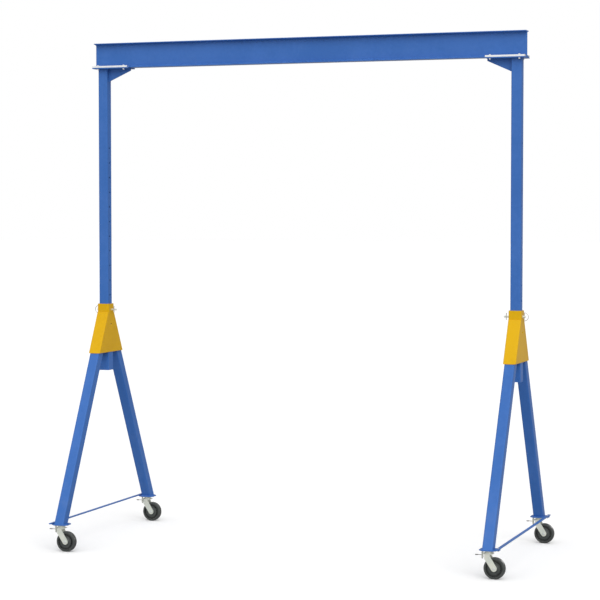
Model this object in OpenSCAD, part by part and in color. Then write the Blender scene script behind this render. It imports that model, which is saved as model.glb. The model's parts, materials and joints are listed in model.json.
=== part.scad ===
// Portable gantry crane: an I-beam on two telescoping masts, each held by a pin in
// an A-frame that rolls on two swivel casters. Millimetres.
// X runs along the beam, Y across the A-frames, Z is up. The origin lies on the
// floor, midway between the two masts.

/* [Overall] */
// Length of the beam, end to end
beam_length = 4572; // [3000:1:6100]
// Clear height from the floor to the underside of the beam
under_beam_height = 4876.8; // [4000:1:5900]
// Distance between the casters of one A-frame, centre to centre
caster_spread = 2095; // [1700:1:2600]

/* [Beam] */
// Depth of the I-beam
beam_depth = 254; // [150:1:400]
// Width of each flange
flange_w = 118.4; // [90:0.1:150]
// Mean thickness of each flange
flange_t = 12.5; // [8:0.1:18]
// Thickness of the web
web_t = 7.9; // [5:0.1:14]
// Radius between web and flange
root_r = 9; // [3:0.5:14]

/* [Head] */
// Distance from the end of the beam to the middle of the mast
mast_inset = 95.25; // [70:0.25:150]
// Length of the head plate along the beam
head_plate_l = 393.7; // [340:0.1:520]
// Width of the head plate
head_plate_w = 203.2; // [195:0.1:260]
// Thickness of the head plate
head_plate_t = 9.5; // [6:0.5:16]
// Depth of the gusset where it meets the mast
gusset_h = 130; // [60:1:200]
// Depth of the gusset at its tip
gusset_tip_h = 20; // [8:1:50]
// Thickness of the gusset
gusset_t = 9.5; // [5:0.5:16]
// How much shorter each clamp bar is than the head plate, at its outer end
clamp_bar_short = 1.5; // [0:0.1:40]
// Height of each clamp bar
clamp_bar_h = 19; // [15:0.5:30]
// How far each clamp bar laps over the flange
clamp_lap = 14; // [6:0.5:25]
// Gap between the edge of the flange and the clamp bar
clamp_gap = 1.5; // [0.5:0.1:4]
// Distance from the clamp bar's inner end to its inner bolt
clamp_bolt_in = 46; // [25:1:90]
// Distance from the head plate's outer end to the outer bolt
clamp_bolt_out = 58.7; // [45:0.1:100]
// Distance from the edge of the head plate to the bolts
clamp_bolt_edge = 20; // [14:0.5:26]
// Diameter of the clamp bolts
clamp_bolt_d = 12.7; // [8:0.1:16]

/* [Mast] */
// Width of the square mast tube
mast_w = 101.6; // [70:0.1:130]
// Wall of the mast tube
mast_wall = 6.35; // [3:0.05:10]
// Outside corner radius of the mast tube
mast_r = 12.7; // [7:0.1:16]
// Distance between the height holes
hole_pitch = 152.4; // [80:0.1:250]
// Number of height holes below the pin
holes_below = 3; // [1:1:3]
// Length of mast above the top height hole, at least
mast_head_l = 800; // [200:1:1000]
// Length of mast below the lowest height hole
mast_tail_l = 137; // [40:1:150]

/* [Sleeve] */
// Wall of the sleeve that the mast slides in
sleeve_wall = 4.75; // [3:0.05:8]
// Gap between the mast and the sleeve, on each side
slide_gap = 1.6; // [0.5:0.1:4]
// Length of sleeve that shows below the bracket
sleeve_tail_l = 190; // [60:1:300]

/* [Bracket] */
// Height of the bracket's top edge above the floor
bracket_top = 2344; // [1900:1:2800]
// Height of the bracket
bracket_h = 414; // [250:1:550]
// Plate thickness of the bracket and collar
bracket_t = 6.35; // [4:0.05:10]
// Height of the collar above the bracket
collar_h = 89; // [60:1:140]
// Height of the pin above the bracket's top edge
pin_above = 28; // [20:1:40]

/* [Legs] */
// Width of the square leg tube
leg_w = 101.6; // [70:0.1:130]
// Wall of the leg tube
leg_wall = 4.75; // [3:0.05:8]
// Outside corner radius of the leg tube
leg_r = 12; // [6:0.5:16]
// Distance from the mast's middle to the leg's middle line, at the bracket's top
leg_top_y = 9; // [0:0.5:30]
// How far the leg's foot stands outside the middle of the caster
leg_foot_out = 12; // [0:0.5:25]

/* [Feet] */
// Rim of the foot plate beyond the leg, along the beam
foot_rim_x = 31.7; // [25:0.1:50]
// Rim of the foot plate beyond the leg, across the A-frame
foot_rim_y = 7; // [3:0.5:30]
// Thickness of the foot plate
foot_t = 9.5; // [6:0.5:16]
// Size of the foot plate's clipped corners
foot_clip = 30; // [5:1:45]
// Width of the ear that carries the tie bar
ear_w = 50; // [36:1:80]
// Distance from the foot plate's side to the tie bar's middle
tie_out = 6.5; // [5:0.5:30]
// Width of the tie bar
tie_w = 28.6; // [20:0.1:32]
// Thickness of the tie bar
tie_t = 9.5; // [5:0.1:14]
// Diameter of the tie bar's bolts
tie_bolt_d = 9.5; // [6:0.1:12]

/* [Casters] */
// Diameter of the wheel
wheel_d = 203.2; // [150:0.1:260]
// Height of the swivel, from the top of the wheel to the foot plate
swivel_h = 63.5; // [58:0.1:90]
// Width of the wheel's tread
wheel_w = 50.8; // [35:0.1:64]
// Distance that the axle trails behind the swivel
trail = 56; // [30:1:70]
// Diameter of the axle
axle_d = 12.7; // [10:0.1:18]
// Diameter of the kingpin
kingpin_d = 16; // [12:0.1:20]
// Thickness of the caster's steel plate
caster_t = 6.35; // [4:0.05:7]

/* [Pins] */
// Diameter of the height pin
pin_d = 19; // [12:0.1:24]
// Clearance around the height pin, on the radius
pin_gap = 0.8; // [0.3:0.1:1.5]
// How far the pin's tip stands out of the collar
pin_tip_out = 58.5; // [45:0.5:90]
// Distance from the collar to the spring clip
clip_out = 34.5; // [20:0.5:38]
// Diameter of the wire of the pin's D-ring
ring_wire_d = 6; // [4:0.5:7]
// Height of the D-ring, between its wire's middle lines
ring_h = 78; // [50:1:100]
// Diameter of the spring clip's wire
clip_wire_d = 4; // [3:0.5:5]

/* [Hidden] */
$fn = 48;
run_gap = 0.05;
joint_bulge = 0.2;
// room for the weld between a leg's face and the housing's wall
weld_gap = 0.02;
part_gap = 0.3;
// Blue, yellow, bare metal and black
blue = [0.24, 0.40, 0.72];
yellow = [0.91, 0.71, 0.14];
zinc = [0.78, 0.80, 0.77];
bright = [0.90, 0.90, 0.92];
black = [0.12, 0.12, 0.13];

mast_x = beam_length / 2 - mast_inset;
sleeve_w = mast_w + 2 * (slide_gap + sleeve_wall);
sleeve_r = 2 * sleeve_wall;
collar_w = sleeve_w + 2 * bracket_t;
collar_top = bracket_top + collar_h;
pin_z = bracket_top + pin_above;
bracket_bottom = bracket_top - bracket_h;
sleeve_bottom = bracket_bottom - sleeve_tail_l;
pin_hole_d = pin_d + 2 * pin_gap;

// The head
mast_top = under_beam_height - head_plate_t;
head_out = beam_length / 2;
head_in = head_out - head_plate_l;
clamp_bolt_y = head_plate_w / 2 - clamp_bolt_edge;
clamp_bar_l = head_plate_l - clamp_bar_short;
clamp_bolt_xs = [head_in + clamp_bolt_in, head_out - clamp_bolt_out];
bolt_head_k = 0.65;
nut_k = 0.87;
hex_k = 1.5;
flange_slope = 1 / 6;

// The mast's height holes, from the lowest to the highest
holes_above = floor((mast_top - mast_head_l - pin_z) / hole_pitch);
hole_zs = [for (i = [-holes_below:holes_above]) pin_z + i * hole_pitch];
mast_bottom = pin_z - holes_below * hole_pitch - mast_tail_l;

// The legs lean in the YZ plane, from the foot plate to the bracket
caster_h = wheel_d + swivel_h;
foot_top = caster_h + foot_t;
caster_y = caster_spread / 2;
leg_foot_y = caster_y + leg_foot_out;
leg_slope = (leg_foot_y - leg_top_y) / (bracket_top - foot_top);
leg_angle = atan(leg_slope);
leg_half_y = leg_w / 2 / cos(leg_angle);
foot_x = leg_w + 2 * foot_rim_x;
foot_y = 2 * (leg_half_y + leg_foot_out + foot_rim_y);
tie_offset = foot_x / 2 + tie_out;
ear_out = tie_offset + tie_w / 2 + 3;
tie_end = caster_y + foot_y / 2;

// The caster, from the top down
plate_z = caster_h - caster_t;
caster_plate_x = 114.3;
caster_plate_y = 101.6;
race_r = 36;
race_h = 9.5;
race_z = plate_z - race_h;
crown_race_r = 41;
crown_top = plate_z - 21;
crown_z = crown_top - caster_t;
crown_x = [-48, 44];
wheel_r = wheel_d / 2;
hub_half = wheel_w / 2 + 4.6;
arm_in = hub_half + 1;
arm_out = arm_in + caster_t;
arm_end_r = 28;
arm_front = [-34, crown_z - 45];
arm_back = [14, crown_z - 9];
bush_r = axle_d / 2 + 8.6;
kingpin_head_r = kingpin_d / 2 + 5;
kingpin_head_h = 3.5;
caster_bolt_d = 9.5;
caster_bolt_xy = [46, 33.5];

// The swivel lock, in front of the fork
lock_x = -61;
lock_d = 10;
lock_hole_d = 11;
lock_ear_x = 72;
lock_ear_w = 24;
lock_tube_r = 9.5;
lock_lug_w = 15;
lock_tube_z = [crown_z - 38, crown_top + 5];
lock_travel = 12.5;
lock_tip = plate_z - 7.5;
lever_z = crown_z - 13;
lever_d = 6;
lever_out = -130;
grip_in = -104;
grip_d = 10;

// The height pin: its head stands outside the collar, its tip inside
pin_head_x = collar_w / 2 + part_gap;
pin_head_r = pin_d * 0.8;
pin_head_t = 6;
ring_x = pin_head_x + pin_head_t + 11;
pin_lug_end = ring_x + 10;
pin_tip = collar_w / 2 + pin_tip_out;
clip_x = collar_w / 2 + clip_out;

// ---- shared shapes ----

// A square with round corners, centred
module rounded_square(w, r) {
    square([w, w - 2 * r], center = true);
    square([w - 2 * r, w], center = true);
    for (x = [-1, 1], y = [-1, 1])
        translate([x, y] * (w / 2 - r)) circle(r);
}

// The section of a square tube
module tube_section(w, wall, r) {
    difference() {
        rounded_square(w, r);
        rounded_square(w - 2 * wall, max(r - wall, 1));
    }
}

// A bar along X from x0 to x1
module x_rod(d, x0, x1) {
    translate([x0, 0, 0]) rotate([0, 90, 0]) cylinder(d = d, h = x1 - x0);
}

// A bar along Y, centred
module y_rod(d, l) {
    rotate([90, 0, 0]) cylinder(d = d, h = l, center = true);
}

// A hexagon bar standing on z = 0, for a bolt of diameter d
module hexagon(d, h) {
    cylinder(d = d * hex_k / cos(30), h = h, $fn = 6);
}

// One A-frame's place: side is -1 for left and 1 for right
module at_mast(side) {
    translate([side * mast_x, 0, 0]) children();
}

// The mirror image for the left side keeps each outer face outside
module outward(side) {
    at_mast(side) mirror([side < 0 ? 1 : 0, 0, 0]) children();
}

// One caster's place: end is -1 for front and 1 for rear
module at_caster(side, end) {
    translate([side * mast_x, end * caster_y, 0]) children();
}

// ---- beam ----

// Height of the sloped inner face of a flange above its outer face, at distance y
function flange_z(y) = flange_t + ((flange_w + web_t) / 4 - y) * flange_slope;

// Points along an arc about c, from angle a0 to a1
function arc(c, r, a0, a1, n) =
    [for (i = [0:n]) let (a = a0 + (a1 - a0) * i / n) c + r * [cos(a), sin(a)]];

// The points in the opposite order, each mirrored across the line y = at
function mirrored_y(points, at) =
    [for (i = [len(points) - 1:-1:0]) [points[i][0], 2 * at - points[i][1]]];

function mirrored_x(points) =
    [for (i = [len(points) - 1:-1:0]) [-points[i][0], points[i][1]]];

// A quarter of the beam's section: flange edge, sloped face, fillet, web
function quarter_section() =
    let (
        m = flange_slope,
        fillet_y = web_t / 2 + root_r,
        fillet_z = flange_z(fillet_y) + root_r * sqrt(1 + m * m)
    )
    concat(
        [[flange_w / 2, 0], [flange_w / 2, flange_z(flange_w / 2)]],
        arc([fillet_y, fillet_z], root_r, 270 - atan(m), 180, 8)
    );

function half_section() =
    concat(quarter_section(), mirrored_y(quarter_section(), beam_depth / 2));

module beam() {
    color(blue)
        translate([-beam_length / 2, 0, under_beam_height])
            rotate([90, 0, 90])
                linear_extrude(beam_length)
                    polygon(concat(half_section(), mirrored_x(half_section())));
}

// ---- head ----

module mast(side) {
    color(blue) at_mast(side) difference() {
        translate([0, 0, mast_bottom])
            linear_extrude(mast_top - mast_bottom) tube_section(mast_w, mast_wall, mast_r);
        for (z = hole_zs)
            translate([0, 0, z]) x_rod(pin_hole_d, -mast_w, mast_w);
    }
}

module head_plate(side) {
    color(blue) mirror([side < 0 ? 1 : 0, 0, 0]) difference() {
        translate([head_in, -head_plate_w / 2, mast_top])
            cube([head_plate_l, head_plate_w, head_plate_t]);
        for (x = clamp_bolt_xs, y = [-1, 1])
            translate([x, y * clamp_bolt_y, mast_top - 1])
                cylinder(d = clamp_bolt_d, h = head_plate_t + 2);
    }
}

// The gusset fills the corner between the mast and the head plate
module head_gussets() {
    mast_face = mast_x - mast_w / 2;
    color(blue) for (s = [0, 1]) mirror([s, 0, 0])
        translate([0, gusset_t / 2, mast_top]) rotate([90, 0, 0])
            linear_extrude(gusset_t)
                polygon([
                    [head_in, 0], [head_in, -gusset_tip_h],
                    [mast_face, -gusset_h], [mast_face, 0]
                ]);
}

// A clamp bar lies on the head plate and laps over the edge of the flange
module clamp_bars(side) {
    edge = flange_w / 2 + clamp_gap;
    lip = flange_w / 2 - clamp_lap;
    color(bright) mirror([side < 0 ? 1 : 0, 0, 0])
        for (s = [0, 1]) mirror([0, s, 0]) difference() {
            translate([head_in, 0, under_beam_height]) rotate([90, 0, 90])
                linear_extrude(clamp_bar_l)
                    polygon([
                        [edge, 0], [head_plate_w / 2, 0], [head_plate_w / 2, clamp_bar_h],
                        [lip, clamp_bar_h], [lip, flange_z(lip)], [edge, flange_z(edge)]
                    ]);
            for (x = clamp_bolt_xs)
                translate([x, clamp_bolt_y, under_beam_height - 1])
                    cylinder(d = clamp_bolt_d, h = clamp_bar_h + 2);
        }
}

module at_clamp_bolts() {
    for (s = [0, 1], x = clamp_bolt_xs, y = [-1, 1])
        mirror([s, 0, 0]) translate([x, y * clamp_bolt_y, 0]) children();
}

module clamp_bolts() {
    tip = mast_top - clamp_bolt_d * nut_k - 3;
    color(bright) at_clamp_bolts() {
        translate([0, 0, under_beam_height + clamp_bar_h])
            hexagon(clamp_bolt_d, clamp_bolt_d * bolt_head_k);
        translate([0, 0, tip])
            cylinder(d = clamp_bolt_d, h = under_beam_height + clamp_bar_h + 1 - tip);
    }
}

module clamp_nuts() {
    height = clamp_bolt_d * nut_k;
    color(bright) at_clamp_bolts() translate([0, 0, mast_top - height]) difference() {
        hexagon(clamp_bolt_d, height);
        translate([0, 0, -1]) cylinder(d = clamp_bolt_d, h = height + 2);
    }
}

// ---- A-frame ----

module sleeve(side) {
    color(blue) at_mast(side) difference() {
        translate([0, 0, sleeve_bottom])
            linear_extrude(collar_top - sleeve_bottom)
                tube_section(sleeve_w, sleeve_wall, sleeve_r);
        for (z = [pin_z, pin_z - hole_pitch])
            translate([0, 0, z]) x_rod(pin_hole_d, -sleeve_w, sleeve_w);
    }
}

module collar(side) {
    color(yellow) at_mast(side) difference() {
        translate([0, 0, bracket_top]) linear_extrude(collar_h) difference() {
            square(collar_w, center = true);
            rounded_square(sleeve_w, sleeve_r);
        }
        translate([0, 0, pin_z]) x_rod(pin_hole_d, -collar_w, collar_w);
    }
}

// Distance of the leg's middle line from the mast's middle, at height z
function leg_y(z) = leg_top_y + (bracket_top - z) * leg_slope;

// The bracket's outline seen along the beam, standing out from the legs by more
module bracket_outline(z0, z1, more) {
    half = leg_half_y + more / cos(leg_angle);
    polygon([
        [-leg_y(z0) - half, z0], [leg_y(z0) + half, z0],
        [leg_y(z1) + half, z1], [-leg_y(z1) - half, z1]
    ]);
}

// A plate housing, open below, that wraps the heads of both legs and the sleeve
module bracket(side) {
    color(yellow) at_mast(side) difference() {
        translate([-collar_w / 2, 0, 0]) rotate([90, 0, 90]) linear_extrude(collar_w)
            bracket_outline(bracket_bottom, bracket_top, bracket_t);
        translate([-sleeve_w / 2, 0, 0]) rotate([90, 0, 90]) linear_extrude(sleeve_w)
            bracket_outline(bracket_bottom - 10, bracket_top - bracket_t, weld_gap);
        translate([0, 0, bracket_top - 2 * bracket_t])
            linear_extrude(3 * bracket_t) rounded_square(sleeve_w, sleeve_r);
        translate([0, 0, pin_z - hole_pitch]) x_rod(pin_hole_d, -collar_w, collar_w);
    }
}

// A leg stands on its foot plate and is mitred against the sleeve at its head
module leg(side, end) {
    long = 2 * (bracket_top - foot_top);
    color(blue) at_mast(side) mirror([0, end < 0 ? 1 : 0, 0]) intersection() {
        translate([0, leg_foot_y, foot_top]) rotate([leg_angle, 0, 0])
            linear_extrude(long, center = true) tube_section(leg_w, leg_wall, leg_r);
        translate([-leg_w, sleeve_w / 2, foot_top])
            cube([2 * leg_w, caster_spread, bracket_top - bracket_t - foot_top]);
    }
}

// The foot plate has clipped corners, and an ear outside for the tie bar
module foot_plate(side, end) {
    cx = foot_x / 2 - foot_clip;
    cy = foot_y / 2 - foot_clip;
    color(blue) translate([0, end * caster_y, caster_h]) outward(side) difference() {
        linear_extrude(foot_t) {
            polygon([
                [-foot_x / 2, -cy], [-cx, -foot_y / 2], [cx, -foot_y / 2],
                [foot_x / 2, -cy], [foot_x / 2, cy], [cx, foot_y / 2],
                [-cx, foot_y / 2], [-foot_x / 2, cy]
            ]);
            polygon([
                [0, -ear_w / 2], [ear_out - 5, -ear_w / 2], [ear_out, 5 - ear_w / 2],
                [ear_out, ear_w / 2 - 5], [ear_out - 5, ear_w / 2], [0, ear_w / 2]
            ]);
        }
        translate([tie_offset, 0, -1]) cylinder(d = tie_bolt_d, h = foot_t + 2);
        for (x = [-1, 1], y = [-1, 1])
            translate([x * caster_bolt_xy[0], y * caster_bolt_xy[1], -1])
                cylinder(d = caster_bolt_d, h = foot_t + 2);
    }
}

module tie_bar(side) {
    color(blue) outward(side) translate([tie_offset, 0, foot_top]) difference() {
        translate([-tie_w / 2, -tie_end, 0]) cube([tie_w, 2 * tie_end, tie_t]);
        for (y = [-1, 1])
            translate([0, y * caster_y, -1]) cylinder(d = tie_bolt_d, h = tie_t + 2);
    }
}

// A bolt and its nut clamp each end of a tie bar to its ear
module tie_bolts() {
    nut_h = tie_bolt_d * nut_k;
    tip = caster_h - nut_h - 2;
    color(bright) for (side = [-1, 1], y = [-1, 1])
        outward(side) translate([tie_offset, y * caster_y, 0]) {
            translate([0, 0, foot_top + tie_t])
                hexagon(tie_bolt_d, tie_bolt_d * bolt_head_k);
            translate([0, 0, tip])
                cylinder(d = tie_bolt_d, h = foot_top + tie_t - tip);
            translate([0, 0, caster_h - nut_h]) hexagon(tie_bolt_d, nut_h);
        }
}

// ---- casters ----

// Screws that hold each caster up to its foot plate, from below
module caster_bolts() {
    color(bright) for (side = [-1, 1], end = [-1, 1]) at_caster(side, end)
        for (x = [-1, 1], y = [-1, 1])
            translate([x * caster_bolt_xy[0], y * caster_bolt_xy[1], 0]) {
                translate([0, 0, plate_z - caster_bolt_d * bolt_head_k])
                    hexagon(caster_bolt_d, caster_bolt_d * bolt_head_k);
                translate([0, 0, plate_z]) cylinder(d = caster_bolt_d, h = foot_top - plate_z);
            }
}

// The fixed half of the swivel: a plate, two lock ears and the upper ball race
module caster_plate(side, end) {
    color(zinc) at_caster(side, end) difference() {
        union() {
            translate([-caster_plate_x / 2, -caster_plate_y / 2, plate_z])
                cube([caster_plate_x, caster_plate_y, caster_t]);
            translate([-lock_ear_x, -lock_ear_w / 2, plate_z])
                cube([2 * lock_ear_x, lock_ear_w, caster_t]);
            translate([0, 0, race_z]) cylinder(r = race_r, h = race_h);
        }
        translate([0, 0, race_z - 1]) cylinder(d = kingpin_d, h = caster_h - race_z);
        translate([0, 0, caster_h - kingpin_head_h])
            cylinder(r = kingpin_head_r, h = kingpin_head_h + 1);
        for (x = [-1, 1]) {
            translate([x * lock_x, 0, plate_z - 1])
                cylinder(d = lock_hole_d, h = caster_t + 2);
            for (y = [-1, 1])
                translate([x * caster_bolt_xy[0], y * caster_bolt_xy[1], plate_z - 1])
                    cylinder(d = caster_bolt_d, h = caster_t + 2);
        }
    }
}

// The kingpin hangs from the caster plate, and its nut carries the fork
module kingpins() {
    nut_h = 10;
    nut_z = crown_z - part_gap - nut_h;
    color(bright) for (side = [-1, 1], end = [-1, 1]) at_caster(side, end) {
        translate([0, 0, caster_h - kingpin_head_h])
            cylinder(r = kingpin_head_r, h = kingpin_head_h);
        translate([0, 0, nut_z - 2])
            cylinder(d = kingpin_d, h = caster_h - kingpin_head_h - nut_z + 2);
        translate([0, 0, nut_z]) hexagon(kingpin_d, nut_h);
    }
}

// The direction from c of the point where a line from p touches the circle about c
function tangent_angle(p, c, r, turn) =
    let (d = p - c) atan2(d[1], d[0]) + turn * acos(r / norm(d));

// One arm of the fork, seen along Y, with a round end about the axle
module arm_outline() {
    axle = [trail, wheel_r];
    front_a = tangent_angle(arm_front, axle, arm_end_r, 1);
    back_a = tangent_angle(arm_back, axle, arm_end_r, -1) + 360;
    polygon(concat(
        [[arm_front[0], crown_top], arm_front],
        arc(axle, arm_end_r, front_a, back_a, 24),
        [arm_back, [crown_x[1], crown_z], [crown_x[1], crown_top]]
    ));
}

// The fork turns about the kingpin, and carries the wheel and the lock's tube
module fork(side, end) {
    color(zinc) at_caster(side, end) difference() {
        union() {
            translate([crown_x[0], -arm_out, crown_z])
                cube([crown_x[1] - crown_x[0], 2 * arm_out, caster_t]);
            translate([0, 0, crown_z])
                cylinder(r = crown_race_r - 6, h = race_z - part_gap - crown_z);
            translate([0, 0, crown_z])
                cylinder(r = crown_race_r, h = caster_t + 5);
            for (y = [-arm_in, arm_out])
                translate([0, y, 0]) rotate([90, 0, 0]) linear_extrude(caster_t) arm_outline();
            translate([lock_x, -lock_lug_w / 2, crown_z])
                cube([crown_x[0] - lock_x + 1, lock_lug_w, caster_t]);
            translate([lock_x, 0, lock_tube_z[0]])
                cylinder(r = lock_tube_r, h = lock_tube_z[1] - lock_tube_z[0]);
        }
        translate([0, 0, crown_z - 1])
            cylinder(d = kingpin_d + 2 * run_gap, h = race_z - crown_z + 2);
        translate([trail, 0, wheel_r]) y_rod(axle_d, 3 * arm_out);
        translate([lock_x, 0, lock_tube_z[0] - 1])
            cylinder(d = lock_d + 2 * run_gap, h = lock_tube_z[1] - lock_tube_z[0] + 2);
        translate([lock_x - 2 * lock_tube_r, -lever_d / 2 - part_gap, lever_z - lever_d])
            cube([2 * lock_tube_r, lever_d + 2 * part_gap, 2 * lever_d + lock_travel]);
    }
}

// A plunger with a side lever: raised, it enters the ear of the caster plate
module lock(side, end) {
    color(zinc) at_caster(side, end) {
        translate([lock_x, 0, lock_tube_z[0] - 8])
            cylinder(d = lock_d, h = lock_tip - lock_tube_z[0] + 8);
        translate([0, 0, lever_z]) {
            x_rod(lever_d, grip_in, lock_x);
            x_rod(grip_d, lever_out, grip_in);
        }
    }
}

// Half of the wheel's section: radius across, distance from the middle plane up
module half_wheel_section() {
    half = wheel_w / 2;
    edge_r = 8;
    groove = [wheel_r * 0.60, wheel_r * 0.79];
    groove_d = 14;
    polygon([
        [bush_r, 0], [wheel_r, 0], [wheel_r, half - edge_r], [wheel_r - edge_r, half],
        [groove[1], half], [groove[1] - 3, half - groove_d],
        [groove[0] + 3, half - groove_d], [groove[0], half],
        [wheel_r * 0.40, half], [wheel_r * 0.32, hub_half], [bush_r, hub_half]
    ]);
    translate([wheel_r - edge_r, half - edge_r]) circle(edge_r);
}

module wheel(side, end) {
    color(black) at_caster(side, end) translate([trail, 0, wheel_r]) rotate([90, 0, 0])
        rotate_extrude($fn = 96) {
            half_wheel_section();
            mirror([0, 1]) half_wheel_section();
        }
}

// The wheel's bearing bush turns on the axle
module bush(side, end) {
    color(zinc) at_caster(side, end) translate([trail, 0, wheel_r]) difference() {
        y_rod(2 * bush_r, 2 * hub_half);
        y_rod(axle_d + 2 * run_gap, 3 * hub_half);
    }
}

module axle(side, end) {
    color(bright) at_caster(side, end) translate([trail, 0, wheel_r]) {
        y_rod(axle_d, 2 * arm_out);
        translate([0, -arm_out, 0]) rotate([90, 0, 0]) hexagon(axle_d, axle_d * bolt_head_k);
        translate([0, arm_out, 0]) rotate([-90, 0, 0]) {
            hexagon(axle_d, axle_d * nut_k);
            cylinder(d = axle_d, h = axle_d * nut_k + 3);
        }
    }
}

// ---- pins ----

module pin(side) {
    color(zinc) outward(side) translate([0, 0, pin_z]) difference() {
        union() {
            x_rod(pin_d, -pin_tip, pin_lug_end);
            x_rod(2 * pin_head_r, pin_head_x, pin_head_x + pin_head_t);
        }
        translate([-clip_x, 0, 0]) cylinder(d = clip_wire_d + 1, h = 2 * pin_d, center = true);
        translate([ring_x, 0, 0]) cylinder(d = ring_wire_d + 1, h = 2 * pin_d, center = true);
    }
}

// A D-ring: its straight side stands in the pin's head, its bow points outwards
module ring(side) {
    color(zinc) outward(side) translate([ring_x, 0, pin_z]) {
        cylinder(d = ring_wire_d, h = ring_h, center = true);
        for (z = [-1, 1]) translate([0, 0, z * ring_h / 2]) sphere(d = ring_wire_d);
        rotate([90, 90, 0]) rotate_extrude(angle = 180)
            translate([ring_h / 2, 0]) circle(d = ring_wire_d);
    }
}

// A spring clip: one leg runs through the pin's tip, the other passes in front of it
module clip(side) {
    front = -(pin_d / 2 + clip_wire_d / 2 + part_gap);
    eye_r = -front * 0.76;
    eye_a = acos(-front / 2 / eye_r);
    low = -pin_d / 2 - 22;
    eye_z = pin_d / 2 + 17;
    neck = eye_z - eye_r * sin(eye_a);
    flare_z = -pin_d / 2 - 4;
    color(bright) outward(side) translate([-clip_x, 0, pin_z]) {
        translate([0, 0, low]) cylinder(d = clip_wire_d, h = neck - low);
        translate([0, front, flare_z]) cylinder(d = clip_wire_d, h = neck - flare_z);
        translate([0, front, flare_z]) rotate([160, 0, 0]) cylinder(d = clip_wire_d, h = 15);
        for (p = [[0, neck], [front, neck], [front, flare_z]])
            translate([0, p[0], p[1]]) sphere(d = clip_wire_d + joint_bulge);
        translate([0, front / 2, eye_z]) rotate([90, 0, 90]) rotate([0, 0, -eye_a])
            rotate_extrude(angle = 180 + 2 * eye_a)
                translate([eye_r, 0]) circle(d = clip_wire_d);
    }
}

beam();
mast(-1);  // mast_left
mast(1);  // mast_right
head_plate(-1);  // head_plate_left
head_plate(1);  // head_plate_right
head_gussets();
clamp_bars(-1);  // clamp_bars_left
clamp_bars(1);  // clamp_bars_right
clamp_bolts();
clamp_nuts();
sleeve(-1);  // sleeve_left
sleeve(1);  // sleeve_right
collar(-1);  // collar_left
collar(1);  // collar_right
bracket(-1);  // bracket_left
bracket(1);  // bracket_right
leg(-1, -1);  // leg_left_front
leg(-1, 1);  // leg_left_rear
leg(1, -1);  // leg_right_front
leg(1, 1);  // leg_right_rear
foot_plate(-1, -1);  // foot_plate_left_front
foot_plate(-1, 1);  // foot_plate_left_rear
foot_plate(1, -1);  // foot_plate_right_front
foot_plate(1, 1);  // foot_plate_right_rear
tie_bar(-1);  // tie_bar_left
tie_bar(1);  // tie_bar_right
tie_bolts();
caster_bolts();
kingpins();
caster_plate(-1, -1);  // caster_plate_left_front
caster_plate(-1, 1);  // caster_plate_left_rear
caster_plate(1, -1);  // caster_plate_right_front
caster_plate(1, 1);  // caster_plate_right_rear
fork(-1, -1);  // fork_left_front
fork(-1, 1);  // fork_left_rear
fork(1, -1);  // fork_right_front
fork(1, 1);  // fork_right_rear
wheel(-1, -1);  // wheel_left_front
wheel(-1, 1);  // wheel_left_rear
wheel(1, -1);  // wheel_right_front
wheel(1, 1);  // wheel_right_rear
bush(-1, -1);  // bush_left_front
bush(-1, 1);  // bush_left_rear
bush(1, -1);  // bush_right_front
bush(1, 1);  // bush_right_rear
axle(-1, -1);  // axle_left_front
axle(-1, 1);  // axle_left_rear
axle(1, -1);  // axle_right_front
axle(1, 1);  // axle_right_rear
lock(-1, -1);  // lock_left_front
lock(-1, 1);  // lock_left_rear
lock(1, -1);  // lock_right_front
lock(1, 1);  // lock_right_rear
pin(-1);  // pin_left
pin(1);  // pin_right
ring(-1);  // ring_left
ring(1);  // ring_right
clip(-1);  // clip_left
clip(1);  // clip_right
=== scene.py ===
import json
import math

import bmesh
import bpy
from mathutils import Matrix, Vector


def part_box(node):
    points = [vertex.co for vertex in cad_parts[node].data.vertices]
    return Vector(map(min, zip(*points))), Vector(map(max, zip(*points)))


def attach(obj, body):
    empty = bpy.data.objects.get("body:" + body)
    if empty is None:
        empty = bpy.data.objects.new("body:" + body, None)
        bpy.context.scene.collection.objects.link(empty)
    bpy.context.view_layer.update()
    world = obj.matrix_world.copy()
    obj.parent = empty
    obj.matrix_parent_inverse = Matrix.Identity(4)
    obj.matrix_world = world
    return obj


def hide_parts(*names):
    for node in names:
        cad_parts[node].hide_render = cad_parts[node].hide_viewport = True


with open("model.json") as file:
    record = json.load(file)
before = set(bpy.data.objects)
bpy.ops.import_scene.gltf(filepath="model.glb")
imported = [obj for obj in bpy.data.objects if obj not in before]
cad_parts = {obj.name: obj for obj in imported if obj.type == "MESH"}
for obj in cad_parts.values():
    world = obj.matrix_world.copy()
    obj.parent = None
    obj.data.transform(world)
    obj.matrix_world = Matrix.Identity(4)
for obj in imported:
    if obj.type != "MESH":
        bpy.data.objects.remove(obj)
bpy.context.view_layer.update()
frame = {"nodes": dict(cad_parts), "record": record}

# %% [markdown]
# # A portable gantry crane
# An I-beam stands on two masts. Each mast slides in a welded A-frame, is held by a pin, and the
# frames roll on swivel casters. The measured solids are already loaded. This lesson dresses them:
# it gives each steel its paint or plating, and models the welds, bolts, wheels and pressed forks.
# Nothing that is added may outgrow it.

nodes = frame["nodes"]
SIDES = ("left", "right")
CORNERS = [f"{side}_{end}" for side in SIDES for end in ("front", "rear")]


def middle(node):
    """The centre of a node's box."""
    low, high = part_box(node)
    return (low + high) / 2


# %% [markdown]
# ## The camera
# The crane is seen from the front, a little from its right, from 18 m away and at eye level above
# the pins. A long lens at that distance keeps the two A-frames nearly the same size.

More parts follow.
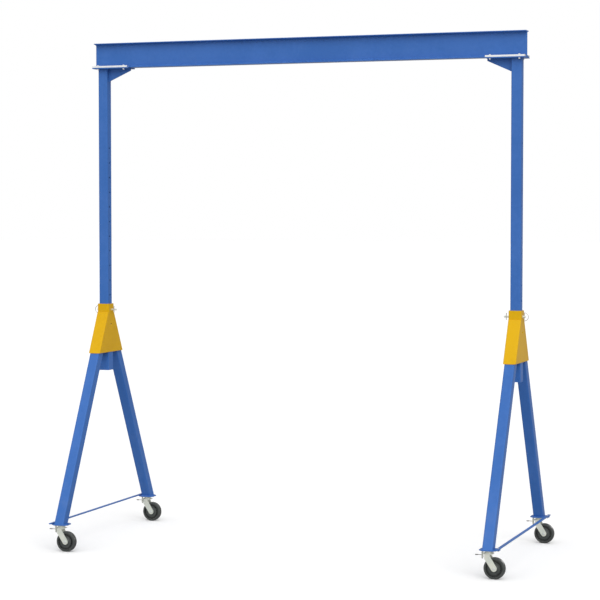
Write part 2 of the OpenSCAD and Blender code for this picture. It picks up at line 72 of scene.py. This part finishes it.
# %% Stand the camera
SENSOR_MM, LENS_MM = 36, 116.93
CAMERA_AT = (6.5693, -18.4642, 3.3719)
LOOK_DOWN, TURN_LEFT = 0.044376, 0.343526
camera_data = bpy.data.cameras.new("long_lens")
camera_data.sensor_width = SENSOR_MM
camera_data.lens = LENS_MM
camera = bpy.data.objects.new("camera", camera_data)
bpy.context.scene.collection.objects.link(camera)
camera.location = CAMERA_AT
camera.rotation_euler = (math.pi / 2 - LOOK_DOWN, 0, TURN_LEFT)
bpy.context.scene.camera = camera
print("camera at", tuple(camera.location))

# %% [markdown]
# ## The floor
# The crane stands on a wide pale floor. A white floor throws so much light up that the undersides
# glow, and a grey one looks dull. So its finish is white where the camera sees it and greyer where
# it only lights the crane. The plain Standard transform keeps the paint's own hue.

# %% Lay the floor
FLOOR_SIZE = 400
bpy.ops.object.select_all(action="DESELECT")
bpy.ops.mesh.primitive_plane_add(size=FLOOR_SIZE, location=(0, 0, 0))
floor = bpy.context.active_object
floor.name = "studio_floor"
bpy.context.scene.view_settings.view_transform = "Standard"
bpy.context.scene.view_settings.look = "None"

# %% Make the floor pale, with a weak bounce
FLOOR_SEEN, FLOOR_BOUNCE = 0.98, 0.40
floor_finish = bpy.data.materials.new("pale_floor")
floor_finish.use_nodes = True
floor_nodes = floor_finish.node_tree
floor_nodes.nodes.remove(floor_nodes.nodes["Principled BSDF"])
floor_parts = []
for shade in (FLOOR_BOUNCE, FLOOR_SEEN):
    part = floor_nodes.nodes.new("ShaderNodeBsdfDiffuse")
    part.inputs["Color"].default_value = (shade, shade, shade, 1)
    floor_parts.append(part)
floor_pick = floor_nodes.nodes.new("ShaderNodeMixShader")
floor_seen = floor_nodes.nodes.new("ShaderNodeLightPath")
floor_nodes.links.new(floor_seen.outputs["Is Camera Ray"], floor_pick.inputs[0])
for at, part in enumerate(floor_parts, 1):
    floor_nodes.links.new(part.outputs[0], floor_pick.inputs[at])
floor_nodes.links.new(floor_pick.outputs[0], floor_nodes.nodes["Material Output"].inputs[0])
floor.data.materials.append(floor_finish)
print("floor", FLOOR_SIZE, "m wide")

# %% [markdown]
# ## The light
# A bright surround, strongest from the front and above, stands for big studio panels, and one
# broad soft sun adds the faint shadows. The surround is dark behind, so that the flat sides of
# the tubes don't mirror it and turn grey. One node measures how far a direction leans to the
# bright side, and another maps that to a strength.

# %% Light the studio
SKY_TOWARDS, SKY_DARKEST, SKY_BRIGHTEST = (0.10, -0.80, 0.59), 0.15, 1.25
SUN_FROM, SUN_STRENGTH, SUN_SOFTNESS = (0.48, -0.68, 0.56), 1.0, math.radians(50)
world = bpy.data.worlds.new("studio")
bpy.context.scene.world = world
world.use_nodes = True
sky = world.node_tree
sky_out = sky.nodes["Background"]
sky_way = sky.nodes.new("ShaderNodeTexCoord")
sky_slope = sky.nodes.new("ShaderNodeVectorMath")
sky_slope.operation = "DOT_PRODUCT"
sky_slope.inputs[1].default_value = SKY_TOWARDS
sky_level = sky.nodes.new("ShaderNodeMapRange")
sky_level.inputs["From Min"].default_value = -1
sky_level.inputs["From Max"].default_value = 1
sky_level.inputs["To Min"].default_value = SKY_DARKEST
sky_level.inputs["To Max"].default_value = SKY_BRIGHTEST
sky_seen = sky.nodes.new("ShaderNodeLightPath")
sky_pick = sky.nodes.new("ShaderNodeMix")
sky_pick.inputs[3].default_value = 1.0
sky.links.new(sky_way.outputs["Generated"], sky_slope.inputs[0])
sky.links.new(sky_slope.outputs["Value"], sky_level.inputs["Value"])
sky.links.new(sky_seen.outputs["Is Camera Ray"], sky_pick.inputs[0])
sky.links.new(sky_level.outputs["Result"], sky_pick.inputs[2])
sky.links.new(sky_pick.outputs[0], sky_out.inputs["Strength"])
sky_out.inputs["Color"].default_value = (1, 1, 1, 1)

sun_data = bpy.data.lights.new("soft_sun", "SUN")
sun_data.energy = SUN_STRENGTH
sun_data.angle = SUN_SOFTNESS
sun = bpy.data.objects.new("soft_sun", sun_data)
bpy.context.scene.collection.objects.link(sun)
sun.rotation_euler = Vector(SUN_FROM).to_track_quat("Z", "Y").to_euler()
print("sky", SKY_DARKEST, "to", SKY_BRIGHTEST, "and a sun of", SUN_STRENGTH)

# %% [markdown]
# ## A softbox for the wheels
# A black moulded tread shows its shape by one bright streak. A softbox low down behind the crane
# draws it. It lights only the pieces in its own collection, so the paint beside keeps its colour.

# %% Stand the softbox
BOX_AT, BOX_FACES_FROM = (4.4, 8.5, 2.6), (3.2, 9.0, 2.2)
BOX_WIDE, BOX_HIGH, BOX_WATTS = 2.0, 2.6, 60
gloss_only = bpy.data.collections.new("wheels_for_the_softbox")
box_data = bpy.data.lights.new("side_softbox", "AREA")
box_data.shape, box_data.energy = "RECTANGLE", BOX_WATTS
box_data.size, box_data.size_y = BOX_WIDE, BOX_HIGH
softbox = bpy.data.objects.new("side_softbox", box_data)
bpy.context.scene.collection.objects.link(softbox)
softbox.location = BOX_AT
softbox.rotation_euler = Vector(BOX_FACES_FROM).to_track_quat("Z", "Y").to_euler()
softbox.visible_camera = False
softbox.light_linking.receiver_collection = gloss_only
print("softbox", BOX_WIDE, "by", BOX_HIGH, "m")

# %% [markdown]
# ## Writing a material as sums
# A material is a network of nodes. Here a small class holds one output of a node, and adding or
# multiplying two of them adds the Math node, so a mask reads like the sum that it is.

# %% A wire and a finish
class Wire:
    """One output of a node. Sums on it add Math nodes."""

    def __init__(self, finish, socket):
        self.finish, self.socket = finish, socket

    def _math(self, operation, *values):
        return self.finish.node("ShaderNodeMath", {"operation": operation}, dict(enumerate(values)))

    def __add__(self, other):
        return self._math("ADD", self, other)

    def __sub__(self, other):
        return self._math("SUBTRACT", self, other)

    def __rsub__(self, other):
        return self._math("SUBTRACT", other, self)

    def __mul__(self, other):
        return self._math("MULTIPLY", self, other)

    __radd__, __rmul__ = __add__, __mul__


class Finish:
    """A material being built round one Principled shader."""

    def __init__(self, name):
        self.material = bpy.data.materials.new(name)
        self.material.use_nodes = True
        self.tree = self.material.node_tree
        self.shader = self.tree.nodes["Principled BSDF"]
        self.place = self.node("ShaderNodeTexCoord", output="Object")

    def node(self, kind, settings=None, sockets=None, output=0):
        """Adds a node, sets it, then gives its sockets values or wires."""
        new = self.tree.nodes.new(kind)
        for key, value in (settings or {}).items():
            setattr(new, key, value)
        for key, value in (sockets or {}).items():
            self.feed(new.inputs[key], value)
        return Wire(self, new.outputs[output])

    def feed(self, socket, value):
        if isinstance(value, Wire):
            self.tree.links.new(value.socket, socket)
        else:
            socket.default_value = value

    def noise(self, scale, detail=2.0, roughness=0.5, stretch=(1, 1, 1), distortion=0.0):
        """Cloudy noise with this many lumps to the metre."""
        spot = self.node("ShaderNodeMapping", None, {"Vector": self.place, "Scale": stretch})
        return self.node("ShaderNodeTexNoise", None, {
            "Vector": spot, "Scale": scale, "Detail": detail,
            "Roughness": roughness, "Distortion": distortion})

    def ease(self, value, low, high):
        """0 below low, 1 above high, and smooth between."""
        return self.node("ShaderNodeMapRange", {"interpolation_type": "SMOOTHSTEP"},
                         {"Value": value, "From Min": low, "From Max": high})

    def blend(self, share, first, second):
        """A colour that goes from first to second as share goes from 0 to 1."""
        return self.node("ShaderNodeMix", {"data_type": "RGBA"},
                         {0: share, 6: first, 7: second}, output=2)

    def edge(self, radius):
        """1 along sharp outer edges, where a film is thin and wears, and where a painted highlight
        lightens it.
        """
        rounded = self.node("ShaderNodeBevel", {"samples": 6}, {"Radius": radius})
        flat = self.node("ShaderNodeNewGeometry", output="Normal")
        alike = self.node("ShaderNodeVectorMath", {"operation": "DOT_PRODUCT"},
                          {0: rounded, 1: flat}, output="Value")
        return self.ease(1 - alike, 0.02, 0.22)

    def relief(self, height, depth, corner=0.0):
        """Bumps of this depth in metres, on edges rounded to this corner radius."""
        sockets = {"Height": height, "Distance": depth, "Strength": 1.0}
        if corner:
            sockets["Normal"] = self.node("ShaderNodeBevel", {"samples": 6}, {"Radius": corner})
        self.feed(self.shader.inputs["Normal"], self.node("ShaderNodeBump", None, sockets))

    def surface(self, **sockets):
        for key, value in sockets.items():
            self.feed(self.shader.inputs[key.replace("_", " ")], value)
        return self.material


def tone(red, green, blue):
    """A colour with its alpha, in linear light."""
    return (red, green, blue, 1.0)


# %% [markdown]
# ## Sprayed enamel
# The tubes and the beam are sprayed blue, the brackets and collars yellow. Sprayed enamel has a
# faint orange-peel texture, drifts a little in tone, is thin and worn along edges, and picks up
# dust and fine scuffs low down. Its edges are also lightened, partly as wear and partly as a
# painted highlight.

# %% Blue and yellow enamel
def enamel(name, deep, bright, worn_and_highlight_edge_tone, dust_tone, gloss):
    finish = Finish(name)
    drift = finish.noise(1.3, 3, 0.6)
    mottle = finish.noise(26, 4, 0.6)
    peel = finish.noise(330, 2, 0.5)
    scuff = finish.ease(finish.noise(38, 3, 0.7, (1, 1, 0.06), 0.4), 0.66, 0.74)
    edge = finish.edge(0.004)
    worn_and_highlit_edge = edge * finish.ease(mottle, 0.36, 0.62)
    height = finish.node("ShaderNodeSeparateXYZ", None, {0: finish.place}, output="Z")
    low = 1 - finish.ease(height, 0.1, 1.6)
    dust = (low * 0.5 + 0.12) * finish.ease(finish.noise(7, 5, 0.65), 0.42, 0.72)
    colour = finish.blend(finish.ease(drift * 0.7 + mottle * 0.3, 0.38, 0.62), deep, bright)
    # Edges go lighter: partly worn film, partly a painted highlight.
    colour = finish.blend(worn_and_highlit_edge * 0.55, colour, worn_and_highlight_edge_tone)
    colour = finish.blend(scuff * 0.10 + dust * 0.14, colour, dust_tone)
    finish.relief(peel * 0.8 + mottle * 0.2, 0.00012, 0.0012)
    return finish.surface(
        Base_Color=colour,
        Roughness=peel * 0.06 + dust * 0.22 + scuff * 0.12 + mottle * 0.05 + 0.27,
        Specular_IOR_Level=gloss)


blue_enamel = enamel("blue_enamel", tone(0.039, 0.136, 0.425), tone(0.050, 0.154, 0.465),
                     tone(0.095, 0.265, 0.66), tone(0.26, 0.31, 0.42), 0.16)
yellow_enamel = enamel("yellow_enamel", tone(0.64, 0.36, 0.003), tone(0.69, 0.40, 0.005),
                       tone(0.82, 0.56, 0.05), tone(0.42, 0.34, 0.18), 0.12)


# %% [markdown]
# ## Plated and bare steel
# Zinc plate is a thin satin skin: grey with faint warm and cold patches, softer in gloss where it
# has been handled. The clamp bars and bolts are brighter. Wire and turned parts are bare.

# %% Zinc and steel
def steel(name, cold, warm, stain, rough, metal):
    finish = Finish(name)
    patch = finish.noise(14, 4, 0.6)
    fine = finish.noise(420, 3, 0.6)
    stained = finish.ease(finish.noise(22, 5, 0.7), 0.58, 0.78)
    edge = finish.edge(0.002)
    colour = finish.blend(finish.ease(patch, 0.35, 0.65), cold, warm)
    colour = finish.blend(stained * 0.35, colour, stain)
    # Edges go paler: partly worn plating, partly a painted highlight.
    colour = finish.blend(edge * 0.4, colour, tone(0.82, 0.83, 0.84))
    finish.relief(fine, 0.00006, 0.0006)
    return finish.surface(Base_Color=colour, Metallic=metal,
                          Roughness=fine * 0.12 + patch * 0.10 + stained * 0.10 + rough)


zinc_plate = steel("zinc_plate", tone(0.72, 0.76, 0.69), tone(0.80, 0.81, 0.72),
                   tone(0.54, 0.56, 0.50), 0.32, 0.55)
bright_zinc = steel("bright_zinc", tone(0.80, 0.82, 0.85), tone(0.86, 0.86, 0.84),
                    tone(0.60, 0.61, 0.60), 0.20, 0.85)
bare_steel = steel("bare_steel", tone(0.55, 0.56, 0.58), tone(0.62, 0.60, 0.57),
                   tone(0.36, 0.33, 0.30), 0.24, 0.95)
dark_steel = steel("dark_steel", tone(0.20, 0.20, 0.20), tone(0.26, 0.255, 0.24),
                   tone(0.12, 0.11, 0.10), 0.36, 0.8)
print("four steels")

# %% [markdown]
# ## Moulded nylon
# The wheels are black nylon: satin grey-black on the sides, blacker and glossier on the tread, with
# scuffs where it rolls. An occlusion node darkens the deep grooves towards black, as painted shade
# where they see little light. The tread is told from the sides by which way its surface faces on
# the wheel itself.

# %% Black nylon
def moulded_nylon():
    finish = Finish("black_nylon")
    patch = finish.noise(18, 4, 0.6)
    grit = finish.noise(260, 3, 0.6)
    facing = finish.node("ShaderNodeTexCoord", output="Normal")
    along_axle = finish.node("ShaderNodeSeparateXYZ", None, {0: facing}, output="Y")
    side = finish.node("ShaderNodeMath", {"operation": "ABSOLUTE"}, {0: along_axle})
    tread = 1 - finish.ease(side, 0.2, 0.7)
    scuffed = tread * finish.ease(finish.noise(55, 5, 0.7), 0.40, 0.66)
    colour = finish.blend(finish.ease(patch, 0.35, 0.65), tone(0.042, 0.048, 0.046),
                          tone(0.058, 0.064, 0.061))
    colour = finish.blend(tread * 0.75, colour, tone(0.016, 0.017, 0.017))
    colour = finish.blend(scuffed * 0.35, colour, tone(0.12, 0.115, 0.105))
    # Edges go lighter grey: partly worn, partly a painted highlight.
    colour = finish.blend(finish.edge(0.003) * 0.30, colour, tone(0.16, 0.17, 0.165))
    # Painted shade: the deep grooves go near black where the occlusion node finds little open
    # space.
    open_sky = finish.node("ShaderNodeAmbientOcclusion", {"samples": 8, "only_local": True},
                           {"Distance": 0.035}, output="AO")
    painted_groove_shade = 1 - finish.ease(open_sky, 0.25, 0.85)
    colour = finish.blend(painted_groove_shade, colour, tone(0.003, 0.003, 0.003))
    finish.relief(grit, 0.00008, 0.001)
    return finish.surface(
        Base_Color=colour, IOR=1.5,
        Roughness=grit * 0.10 + scuffed * 0.14 + patch * 0.08 - tread * 0.06 + 0.22)


black_nylon = moulded_nylon()

# %% [markdown]
# ## Dressing the solids
# Each solid's record names a material slot. The finish that stands for the slot goes into the
# solid's own slots, and the mesh isn't touched.

# %% Dress the solids
FINISHES = {
    "blue_paint": blue_enamel, "yellow_paint": yellow_enamel, "zinc_plated_steel": zinc_plate,
    "bright_zinc": bright_zinc, "bare_steel": bare_steel, "dark_steel": dark_steel,
    "black_nylon": black_nylon}
slot_of = {part["node"]: part["material_slot"] for part in frame["record"]["subparts"]}
for name, solid in nodes.items():
    for place in solid.material_slots:
        place.material = FINISHES[slot_of[name]]
print(len(nodes), "solids dressed")


# %% [markdown]
# ## Tools for the new pieces
# An operator acts on everything that is selected, so each step first selects only its own piece.
# In edit mode, faces and edges are picked by where they are. A finished piece is then given to a
# body of the crane, so that it moves with it.

# %% Select and pick
body_of = {node: body for body, members in frame["record"]["behaviour"]["bodies"].items()
           for node in members}


def alone(*pieces):
    """Leaves only these pieces selected, the first one active."""
    bpy.ops.object.select_all(action="DESELECT")
    for piece in pieces:
        piece.select_set(True)
    bpy.context.view_layer.objects.active = pieces[0]


def pick(kind, test):
    """In edit mode, selects the faces or edges whose middle and normal pass the test."""
    bpy.ops.mesh.select_mode(type=kind)
    bpy.ops.mesh.select_all(action="DESELECT")
    shape = bmesh.from_edit_mesh(bpy.context.active_object.data)
    for part in shape.faces if kind == "FACE" else shape.edges:
        spot = sum((v.co for v in part.verts), Vector()) / len(part.verts)
        way = part.normal if kind == "FACE" else (part.verts[1].co - part.verts[0].co).normalized()
        part.select_set(bool(test(spot, way)))
    bmesh.update_edit_mesh(bpy.context.active_object.data)


# %% Apply, soften and hand over
SMOOTH_BELOW = math.radians(50)


def apply(piece, kind, **settings):
    """Adds a modifier, sets it and applies it."""
    alone(piece)
    modifier = piece.modifiers.new(kind.lower(), kind)
    for key, value in settings.items():
        setattr(modifier, key, value)
    bpy.ops.object.modifier_apply(modifier=modifier.name)


def soften(piece, radius, segments=2, angle=32):
    """Rounds the sharp edges by this radius and smooths the shading between them."""
    apply(piece, "BEVEL", width=radius, segments=segments, limit_method="ANGLE",
          angle_limit=math.radians(angle), use_clamp_overlap=False)
    alone(piece)
    bpy.ops.object.shade_smooth_by_angle(angle=SMOOTH_BELOW)
    apply(piece, "WEIGHTED_NORMAL", keep_sharp=True, weight=100)


def place_copy(model, name, where):
    """A copy of a model with a mesh of its own, moved to its place."""
    piece = bpy.data.objects.new(name, model.data.copy())
    bpy.context.scene.collection.objects.link(piece)
    piece.data.transform(Matrix.Translation(where))
    return piece


def hand_over(piece, body, slot, *replaced):
    """Gives a piece its finish, its body and the solids that it stands for."""
    piece.data.materials.clear()
    piece.data.materials.append(FINISHES[slot])
    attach(piece, body)
    if replaced:
        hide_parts(*replaced)


# %% [markdown]
# ## Edges that have been worked
# A sawn plate, a rolled beam and a pressed bar never have knife edges: they are ground, rolled or
# tumbled round by about a millimetre, and that thin line is what catches the light. The solids are
# exact but sharp, so each is copied, its loose triangles are joined into whole faces, and its edges
# are bevelled. Rounding in the shader alone would leave the outline sharp. The copy then stands
# for the solid.

# %% Joining a copy of a solid
def joined_copy(node):
    """A copy of a solid with its triangles merged into whole faces."""
    same_point, same_plane = 1e-5, math.radians(0.4)
    piece = bpy.data.objects.new(f"{node}_worked", nodes[node].data.copy())
    bpy.context.scene.collection.objects.link(piece)
    alone(piece)
    bpy.ops.mesh.customdata_custom_splitnormals_clear()
    bpy.ops.object.mode_set(mode="EDIT")
    bpy.ops.mesh.select_all(action="SELECT")
    bpy.ops.mesh.remove_doubles(threshold=same_point)
    bpy.ops.mesh.dissolve_limited(angle_limit=same_plane)
    bpy.ops.object.mode_set(mode="OBJECT")
    return piece


def open_edges(piece):
    """How many edges don't have exactly two faces."""
    shape = bmesh.new()
    shape.from_mesh(piece.data)
    count = sum(1 for edge in shape.edges if len(edge.link_faces) != 2)
    shape.free()
    return count


# %% Choose the edge radii
EDGE_RADIUS = {"beam": 0.0015, "head_plate": 0.0010, "head_gussets": 0.0008, "clamp_bars": 0.0012,
               "clamp_bolts": 0.0007, "clamp_nuts": 0.0007, "bracket": 0.0012, "collar": 0.0010,
               "foot_plate": 0.0012, "caster_plate": 0.0008, "tie_bar": 0.0008, "tie_bolts": 0.0006,
               "caster_bolts": 0.0005, "kingpins": 0.0007, "axle": 0.0007, "pin": 0.0007,
               "lock": 0.0006, "mast": 0.0008, "sleeve": 0.0008, "leg": 0.0008, "bush": 0.0004}


def kind_of(node):
    """A node's kind: its name, with or without the side and end after it."""
    names = (node, node.rsplit("_", 1)[0], node.rsplit("_", 2)[0])
    return next((name for name in names if name in EDGE_RADIUS), None)


print(sum(1 for node in nodes if kind_of(node)), "solids have an edge radius")

# %% [markdown]
# ## The folded housings
# The yellow housing and its collar are folded from plate, and a fold in plate this thick is round
# outside. Their upright outer corners are picked, without the rims of the pin holes, and bevelled
# wide before the thin bevel goes round everything else.

# %% Round the folds, then every edge
FOLD, FOLD_STEPS = 0.009, 5
CLEAR_OF_HOLES = 0.04


def round_corners(piece):
    """Rounds the four upright outer corners, where the plate is folded."""
    near, square = 1e-4, 1
    xs = [v.co.x for v in piece.data.vertices]
    x_low, x_high = min(xs), max(xs)
    alone(piece)
    bpy.ops.object.mode_set(mode="EDIT")
    pick("EDGE", lambda spot, way: abs(way.z) > 0.7 and abs(spot.y) > CLEAR_OF_HOLES
         and min(abs(spot.x - x_low), abs(spot.x - x_high)) < near)
    shape = bmesh.from_edit_mesh(piece.data)
    for edge in shape.edges:
        if edge.select and edge.calc_face_angle(0) < square:
            edge.select_set(False)
    bmesh.update_edit_mesh(piece.data)
    bpy.ops.mesh.bevel(offset=FOLD, segments=FOLD_STEPS, affect="EDGES", clamp_overlap=False)
    bpy.ops.object.mode_set(mode="OBJECT")


worked = 0
for node in nodes:
    kind = kind_of(node)
    if kind:
        piece = joined_copy(node)
        if kind in ("bracket", "collar"):
            round_corners(piece)
        soften(piece, EDGE_RADIUS[kind])
        if open_edges(piece):
            print(node, "open edges", open_edges(piece))
        hand_over(piece, body_of[node], slot_of[node], node)
        worked += 1
print(worked, "solids given worked edges")

# %% [markdown]
# ## The bent wire
# The pins' D-rings and hairpin clips are bent from round wire. Wire has no edges to bevel, so their
# copies are only shaded smooth.

# %% Smooth the rings and clips
WIRE_SMOOTH = math.radians(60)
for node in nodes:
    if node.startswith(("ring_", "clip_")):
        piece = joined_copy(node)
        alone(piece)
        bpy.ops.object.shade_smooth_by_angle(angle=WIRE_SMOOTH)
        hand_over(piece, body_of[node], slot_of[node], node)
        print(piece.name, len(piece.data.polygons), "faces")

# %% [markdown]
# ## The forks
# A caster's fork is pressed from one sheet, so its arms flow out of the crown in a bend. The solid
# has a sharp corner there. The copy's two long crown edges are bevelled wide before the rest.

# %% Bend the forks
BEND, BEND_STEPS = 0.0055, 5
FORK_EDGE = 0.0005
NEAR = 1e-4
for corner in CORNERS:
    node = f"fork_{corner}"
    low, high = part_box(node)
    crown_top = max(v.co.z for v in nodes[node].data.vertices if abs(v.co.y - low.y) < NEAR)
    piece = joined_copy(node)
    bpy.ops.object.mode_set(mode="EDIT")
    pick("EDGE", lambda spot, way: abs(spot.z - crown_top) < NEAR and abs(way.x) > 0.99
         and min(abs(spot.y - low.y), abs(spot.y - high.y)) < NEAR)
    bpy.ops.mesh.bevel(offset=BEND, segments=BEND_STEPS, affect="EDGES", clamp_overlap=False)
    bpy.ops.object.mode_set(mode="OBJECT")
    soften(piece, FORK_EDGE)
    print(node, "open edges", open_edges(piece))
    hand_over(piece, body_of[node], slot_of[node], node)

# %% [markdown]
# ## The wheels
# The wheels are moulded in one piece: a barrel with round shoulders, a deep ring in each side that
# keeps the walls even, and a hub that stands proud. A cylinder is the start. Its two end faces are
# inset again and again, in and out, down to the bore, and the bore is bridged.

# %% Measure a wheel
WHEEL_WIDTH = 0.0508
SHOULDER, SHOULDER_STEPS = 0.008, 6
wheel_low, wheel_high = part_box(f"wheel_{CORNERS[0]}")
bush_low, bush_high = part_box(f"bush_{CORNERS[0]}")
rim = (wheel_high.x - wheel_low.x) / 2
hub_half = (wheel_high.y - wheel_low.y) / 2
bore = (bush_high.x - bush_low.x) / 2
half_width = WHEEL_WIDTH / 2
GROOVE_DEPTH, DRAFT = 0.014, 0.003
# inset across the face, then the step along the axle
STEPS = ((0.21 * rim, 0), (DRAFT, -GROOVE_DEPTH), (0.19 * rim - 2 * DRAFT, 0),
         (DRAFT, GROOVE_DEPTH), (0.20 * rim, 0), (0.08 * rim, hub_half - half_width),
         (0.32 * rim - bore, 0))
print("wheel radius", rim, "hub", hub_half, "bore", bore)

# %% Mould a wheel
FACETS, WHEEL_EDGE = 96, 0.0012
bpy.ops.object.select_all(action="DESELECT")
bpy.ops.mesh.primitive_cylinder_add(vertices=FACETS, radius=rim, depth=WHEEL_WIDTH,
                                    rotation=(math.pi / 2, 0, 0))
bpy.ops.object.transform_apply(location=True, rotation=True, scale=True)
wheel_model = bpy.context.active_object
bpy.ops.object.mode_set(mode="EDIT")
for end in (-1, 1):
    pick("FACE", lambda spot, way: way.y * end > 0.9 and spot.y * end > half_width - NEAR)
    for across, along in STEPS:
        bpy.ops.mesh.inset(thickness=across, depth=0, use_even_offset=True)
        if along:
            bpy.ops.transform.translate(value=(0, end * along, 0))
    bpy.ops.mesh.delete(type="FACE")
pick("EDGE", lambda spot, way: spot.xz.length < bore * 1.02 and abs(way.y) < 0.1)
bpy.ops.mesh.bridge_edge_loops()
pick("EDGE", lambda spot, way: spot.xz.length > rim * 0.995 and abs(way.y) < 0.1)
bpy.ops.mesh.bevel(offset=SHOULDER, segments=SHOULDER_STEPS, affect="EDGES",
                   clamp_overlap=False)
bpy.ops.mesh.select_all(action="SELECT")
bpy.ops.mesh.normals_make_consistent(inside=False)
bpy.ops.object.mode_set(mode="OBJECT")
soften(wheel_model, WHEEL_EDGE, angle=25)
print("wheel faces", len(wheel_model.data.polygons), "open edges", open_edges(wheel_model))

# %% Fit a wheel to each caster
for corner in CORNERS:
    node = f"wheel_{corner}"
    piece = place_copy(wheel_model, f"{node}_moulded", middle(node))
    gloss_only.objects.link(piece)
    hand_over(piece, body_of[node], slot_of[node], node)
bpy.data.objects.remove(wheel_model)

# %% [markdown]
# ## The welds
# Every steel joint that isn't bolted is welded all round. A hand-laid bead is a row of overlapping
# ripples. One ripple is drawn as a ring that swells and shrinks, an Array repeats it along the run,
# and the ends are closed. The beads are painted over, so they take the colour under them.

# %% Lay a bead
RIPPLE_LENGTH, RIPPLE_NECK = 1.1, 0.86       # as shares of the bead's radius
RIPPLE_SWELL = 1.18


def bead(start, end, radius):
    """One straight run of weld from start to end."""
    run = end - start
    count = max(2, round(run.length / (radius * RIPPLE_LENGTH)))
    pitch = run.length / count
    bpy.ops.object.select_all(action="DESELECT")
    bpy.ops.mesh.primitive_circle_add(vertices=10, radius=radius * RIPPLE_NECK,
                                      rotation=(0, math.pi / 2, 0))
    bpy.ops.object.transform_apply(location=True, rotation=True, scale=True)
    piece = bpy.context.active_object
    bpy.ops.object.mode_set(mode="EDIT")
    bpy.ops.mesh.select_all(action="SELECT")
    for share, swell in ((0.35, RIPPLE_SWELL), (0.65, 1 / RIPPLE_SWELL)):
        bpy.ops.mesh.extrude_region_move(TRANSFORM_OT_translate={"value": (pitch * share, 0, 0)})
        bpy.ops.transform.resize(value=(1, swell, swell), center_override=(0, 0, 0))
    bpy.ops.object.mode_set(mode="OBJECT")
    apply(piece, "ARRAY", count=count, use_relative_offset=False, use_constant_offset=True,
          constant_offset_displace=(pitch, 0, 0), use_merge_vertices=True, merge_threshold=1e-5)
    bpy.ops.object.mode_set(mode="EDIT")
    bpy.ops.mesh.select_all(action="SELECT")
    bpy.ops.mesh.fill_holes(sides=0)
    bpy.ops.mesh.normals_make_consistent(inside=False)
    bpy.ops.object.mode_set(mode="OBJECT")
    bpy.ops.object.shade_smooth_by_angle(angle=WIRE_SMOOTH)
    turn = run.to_track_quat("X", "Z").to_matrix().to_4x4()
    piece.data.transform(Matrix.Translation(start) @ turn)
    return piece


def weld(name, runs, radius, body, slot):
    """Joins several runs into one piece of weld."""
    beads = [bead(Vector(a), Vector(b), radius) for a, b in runs]
    alone(*beads)
    if len(beads) > 1:
        bpy.ops.object.join()
    beads[0].name = beads[0].data.name = name
    hand_over(beads[0], body, slot)


def around(x, y, z, half_x, half_y, corner_radius):
    """The eight runs round a rectangular tube with round corners."""
    cut = corner_radius * 0.6
    points = []
    for sx, sy in ((1, -1), (1, 1), (-1, 1), (-1, -1)):
        pair = [(x + sx * half_x, y + sy * (half_y - cut), z),
                (x + sx * (half_x - cut), y + sy * half_y, z)]
        points += pair if sx == sy else pair[::-1]
    return list(zip(points, points[1:] + points[:1]))


# %% Choose the weld sizes
TUBE_CORNER, LEG_CORNER, COLLAR_CORNER = 0.0127, 0.012, 0.004
FOOT_BEAD, MAST_BEAD, GUSSET_BEAD = 0.0042, 0.0045, 0.0038
COLLAR_BEAD, HOUSING_BEAD = 0.0026, 0.0036
GUSSET_SHORT_OF_EDGE, GUSSET_NOSE = 0.012, 0.004
LEG_WELD_HALF = 0.040
print("beads from", 2 * COLLAR_BEAD, "to", 2 * MAST_BEAD, "m across")

# %% Weld the feet
for corner in CORNERS:
    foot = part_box(f"foot_plate_{corner}")[1].z
    ring = [v.co for v in nodes[f"leg_{corner}"].data.vertices if v.co.z < foot + NEAR]
    x_low, x_high = min(p.x for p in ring), max(p.x for p in ring)
    y_low, y_high = min(p.y for p in ring), max(p.y for p in ring)
    weld(f"foot_weld_{corner}", around(
        (x_low + x_high) / 2, (y_low + y_high) / 2, foot, (x_high - x_low) / 2,
        (y_high - y_low) / 2, LEG_CORNER), FOOT_BEAD, "a_frames", "blue_paint")

# %% Weld the mast heads, gussets, collars and housings
gusset_low, gusset_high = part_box("head_gussets")
for side, way in zip(SIDES, (-1, 1)):
    mast = middle(f"mast_{side}")
    plate_low, plate_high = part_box(f"head_plate_{side}")
    under = plate_low.z
    mast_half = (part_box(f"mast_{side}")[1].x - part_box(f"mast_{side}")[0].x) / 2
    weld(f"mast_weld_{side}", around(mast.x, 0, under, mast_half, mast_half, TUBE_CORNER),
         MAST_BEAD, "beam_assembly", "blue_paint")
    face = mast.x - way * mast_half
    tip = (plate_low.x if way > 0 else plate_high.x) + way * GUSSET_SHORT_OF_EDGE
    runs = []
    for y in (gusset_low.y, gusset_high.y):
        runs.append(((face, y, under), (tip, y, under)))
        runs.append(((face, y, under), (face, y, gusset_low.z + GUSSET_NOSE)))
    weld(f"gusset_weld_{side}", runs, GUSSET_BEAD, "beam_assembly", "blue_paint")
    collar_low, collar_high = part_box(f"collar_{side}")
    collar_half = (collar_high.x - collar_low.x) / 2
    weld(f"collar_weld_{side}",
         around(mast.x, 0, collar_low.z, collar_half, collar_half, COLLAR_CORNER),
         COLLAR_BEAD, "a_frames", "yellow_paint")
    housing_low, housing_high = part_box(f"bracket_{side}")
    runs = []
    for front in (-1, 1):
        leg = nodes[f"leg_{side}_{'front' if front < 0 else 'rear'}"].data.vertices
        foot_out = max(abs(v.co.y) for v in leg)
        foot_z = min(v.co.z for v in leg)
        head_z = max(v.co.z for v in leg)
        head_out = max(abs(v.co.y) for v in leg if v.co.z > head_z - 1e-3)
        share = (housing_low.z - foot_z) / (head_z - foot_z)
        out = front * (foot_out + (head_out - foot_out) * share)
        runs.append(((mast.x - LEG_WELD_HALF, out, housing_low.z),
                     (mast.x + LEG_WELD_HALF, out, housing_low.z)))
    weld(f"bracket_weld_{side}", runs, HOUSING_BEAD, "a_frames", "yellow_paint")
print("welds laid")
